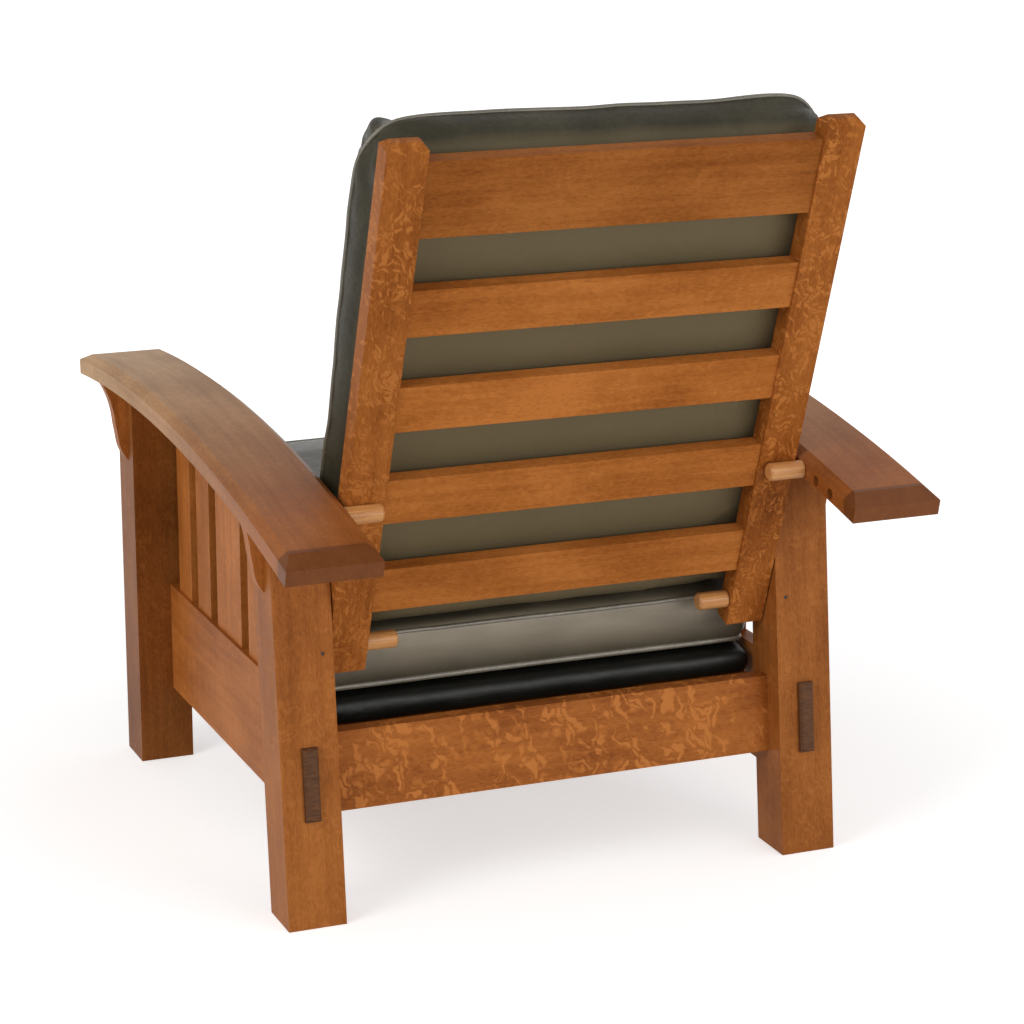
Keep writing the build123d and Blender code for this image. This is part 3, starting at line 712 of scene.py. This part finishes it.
def seat_detail(co):
    x, y, h = seat_local(co)
    if h > 0.02:
        lump = noise.noise(Vector((x * 5, y * 5, h * 5)) + Vector((8, 2, 4))) * 0.0022
        h += lump * min(1, (h - 0.02) / 0.05)
    # puckers along the band, square to the seams
    across, lengthwise = seat_edge(x, y)
    if 0.008 < h < 0.075 and max(across, lengthwise) > SEAT_EDGE_SHARE:
        run = x if lengthwise > across else y
        pucker = noise.noise(Vector((run * 60, 0, 3))) * 0.0012 * (1 - abs(h - 0.04) / 0.035)
        k = 1 + pucker / 0.3
        x *= k
        y = SEAT_MID + (y - SEAT_MID) * k
    h = max(SEAT_LEAST_H, h)
    x = max(-SEAT_LIMIT, min(SEAT_LIMIT, x))
    if y > SWELL_START:
        swell = min(1, (y - SWELL_START) / SWELL_RUN) * min(1, h / 0.02)
        x *= 1 + SWELL_SHARE * swell
    return seat_point(x, min(y, SEAT_REAR_LIMIT), min(h, SEAT_MOST_H))


def seat_hold(co):
    """The foot and the two seams are held fast."""
    x, y, h = seat_local(co)
    on_seam = abs(h - 0.078) < 0.005 or abs(h - 0.006) < 0.005
    return 1.0 if h < 0.004 or (max(seat_edge(x, y)) > SEAT_EDGE_SHARE and on_seam) else 0.0


def seat_cushion():
    mesh = rings_mesh("seat_cushion_form", seat_shape())
    mesh = inflate(mesh, "seat_cushion_skin", CUSHION_VOXEL, seat_hold, SEAT_PRESSURE, SEAT_TRAVEL)
    for v in mesh.vertices:
        v.co = seat_detail(v.co)
    ob = link("seat_cushion_skin", mesh, M_SEAT, "seat_cushion")
    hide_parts("seat_cushion")
    finish_soft(ob)
    for label, h, radius in SEAT_WELTS:
        line = [seat_point(p.x, p.y, h) for p in outline(SEAT_HALF + SEAT_STAND, -SEAT_LEN - SEAT_STAND,
                                                         SEAT_STAND, SEAT_CORNER, SEAT_DRAW)]
        w = tube("seat_cushion_welt_" + label, line, radius, M_WELT, "seat_cushion", mesh)


# Deck pad: heights under the seat cushion's foot, each with how far the outline stands out there
DECK_HALF, DECK_REAR, DECK_CORNER, DECK_FRONT_CLEARANCE, DECK_TOP = 0.3008, 0.0205, 0.009, 0.004, -0.0003
DECK_LEVELS = [(-0.0348, -0.012), (-0.0346, -0.003), (-0.032, 0.0), (-0.024, 0.0018), (-0.014, 0.0022),
               (-0.008, 0.0008), (-0.0045, -0.0022), (-0.002, -0.0065), (-0.0008, -0.013), (-0.0004, -0.05)]


def deck_skin():
    """The deck's upholstered pad: leather drawn over a firm edge, a little full along its sides."""
    low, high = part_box("deck_pad")
    front = min(seat_local(Vector((0, low[1], z)))[1] for z in (low[2], high[2])) + DECK_FRONT_CLEARANCE
    rings = [[seat_point(p.x, p.y, h)
              for p in outline(DECK_HALF + out, front - out * 0.5, DECK_REAR + out, DECK_CORNER, 0.0)]
             for h, out in DECK_LEVELS]
    mesh = inflate(rings_mesh("deck_pad_form", rings), "deck_pad_skin", DECK_VOXEL)
    for v in mesh.vertices:
        x, y, h = seat_local(v.co)
        if h > -0.012 and y < 0.005:
            h -= 0.0006
        if y > 0.012:
            h += noise.noise(Vector((x * 16, 0, 2))) * 0.0012 * (h > -0.02)
            y += noise.noise(Vector((x * 22, h * 40, 5))) * 0.0010
        v.co = seat_point(x, y, min(h, DECK_TOP))
    ob = link("deck_pad_skin", mesh, M_DECK, "frame")
    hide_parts("deck_pad")
    finish_soft(ob)


# Peg holes: three in each arm's inner edge, along the line on which the support peg moves
HOLE_PITCH, HOLE_RADIUS, LAND_HALF, LAND_STEPS = 0.0381, 0.00675, 0.00668, 12
HOLE_WAY, HOLE_ACROSS = Vector((0, 0.982001, -0.188878)), Vector((0, 0.188878, 0.982001))
# From the arm's inner edge, over a narrow rim, to the bottom of the holes
LAND_X = (0.30815, 0.3085, 0.316)


def hole_lands():
    """The wood that stands between one peg hole and the next, in the mouth of each arm's slot."""
    for side, label in ((1, "left"), (-1, "right")):
        low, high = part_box("support_peg_" + label)
        centre = Vector((0, (low[1] + high[1]) / 2, (low[2] + high[2]) / 2))
        for number in (1, 2):
            ring = []
            for hole, sign in ((HOLE_PITCH * (number - 1), 1), (HOLE_PITCH * number, -1)):
                for i in range(LAND_STEPS + 1):
                    v = LAND_HALF * (2 * i / LAND_STEPS - 1) * sign
                    u = math.sqrt(HOLE_RADIUS * HOLE_RADIUS - v * v)
                    ring.append(centre + HOLE_WAY * (hole + sign * u) + HOLE_ACROSS * v)
            rings = [[Vector((side * x, p.y, p.z)) for p in ring] for x in LAND_X]
            name = f"hole_land_{number}_{label}"
            mat = NODES["arm_" + label].data.materials[0]
            link(name, rings_mesh(name, rings), mat, "frame", False)


def background_rays(nodes, links):
    """1 for the rays that should meet the plain white background."""
    path = nodes.new("ShaderNodeLightPath")
    total = path.outputs["Is Camera Ray"]
    for name in ("Is Glossy Ray", "Is Transmission Ray"):
        plus = nodes.new("ShaderNodeMath")
        plus.operation = "MAXIMUM"
        links.new(total, plus.inputs[0])
        links.new(path.outputs[name], plus.inputs[1])
        total = plus.outputs[0]
    return total


# The floor shines a little, more with distance from the chair, so that it meets the white background.
FLOOR_SIZE, FLOOR_DROP, FLOOR_GREY = 60, 0.0005, 0.8
GLOW_NEAR, GLOW_FAR, GLOW_LOW, GLOW_HIGH = 0.6, 2.4, 0.55, 0.85
# The light round the room is stronger at the sides than overhead.
AMBIENT_TOP, AMBIENT_SIDES, AMBIENT_OVERHEAD = 0.9, 0.80, 0.30


def floor():
    bpy.ops.mesh.primitive_plane_add(size=FLOOR_SIZE, location=(0, 0, -FLOOR_DROP))
    ob = bpy.context.object
    ob.name = "floor"
    t = Tree("floor")
    t.bsdf.inputs["Emission Color"].default_value = (1, 1, 1, 1)
    glow = t.range(t.vector("LENGTH", t.place()), GLOW_NEAR, GLOW_FAR, GLOW_LOW, GLOW_HIGH)
    t.put(t.bsdf.inputs["Emission Strength"], t.math("MULTIPLY", glow, background_rays(t.nodes, t.links)))
    t.mat.cycles.emission_sampling = "NONE"
    ob.data.materials.append(t.finish((FLOOR_GREY, FLOOR_GREY, FLOOR_GREY, 1), 0.9, 0.0))


def surroundings():
    world = bpy.data.worlds.new("world")
    world.use_nodes = True
    bpy.context.scene.world = world
    nodes, links = world.node_tree.nodes, world.node_tree.links
    nodes.clear()
    out = nodes.new("ShaderNodeOutputWorld")
    mixer = nodes.new("ShaderNodeMixShader")
    links.new(background_rays(nodes, links), mixer.inputs[0])
    ambient, white = nodes.new("ShaderNodeBackground"), nodes.new("ShaderNodeBackground")
    for number, shader in enumerate((ambient, white), start=1):
        shader.inputs[0].default_value = (1, 1, 1, 1)
        shader.inputs[1].default_value = 1.0
        links.new(shader.outputs[0], mixer.inputs[number])
    heading = nodes.new("ShaderNodeTexCoord")
    split = nodes.new("ShaderNodeSeparateXYZ")
    links.new(heading.outputs["Generated"], split.inputs[0])
    fade = nodes.new("ShaderNodeMapRange")
    for number, value in enumerate((0.0, AMBIENT_TOP, AMBIENT_SIDES, AMBIENT_OVERHEAD), start=1):
        fade.inputs[number].default_value = value
    links.new(split.outputs[2], fade.inputs[0])
    links.new(fade.outputs[0], ambient.inputs[1])
    links.new(mixer.outputs[0], out.inputs[0])


def area(name, place, target, size, power, colour=(1, 1, 1)):
    light = bpy.data.lights.new(name, "AREA")
    light.shape = "RECTANGLE"
    light.size, light.size_y = size
    light.energy = power
    light.color = colour
    ob = bpy.data.objects.new(name, light)
    ob.location = place
    ob.rotation_euler = (Vector(target) - Vector(place)).to_track_quat("-Z", "Y").to_euler()
    bpy.context.scene.collection.objects.link(ob)


camera()
dress_cad()
deck_skin()
hole_lands()
back_cushion()
seat_cushion()
floor()
surroundings()
# Name, place, target, size in metres, power in watts and colour
area("key", (3.6, 1.6, 2.4), (0, 0, 0.5), (2.0, 2.0), 62, (1.0, 0.985, 0.96))
area("low", (-1.5, 3.6, 1.15), (0, 0, 0.4), (2.2, 1.1), 40)
area("fill", (-3.2, 1.6, 2.2), (0, 0, 0.5), (2.4, 2.4), 14, (0.97, 0.985, 1.0))

scene = bpy.context.scene
scene.view_settings.view_transform = "Standard"
scene.view_settings.look = "None"
scene.view_settings.exposure = 0.0
scene.view_settings.gamma = 1.0
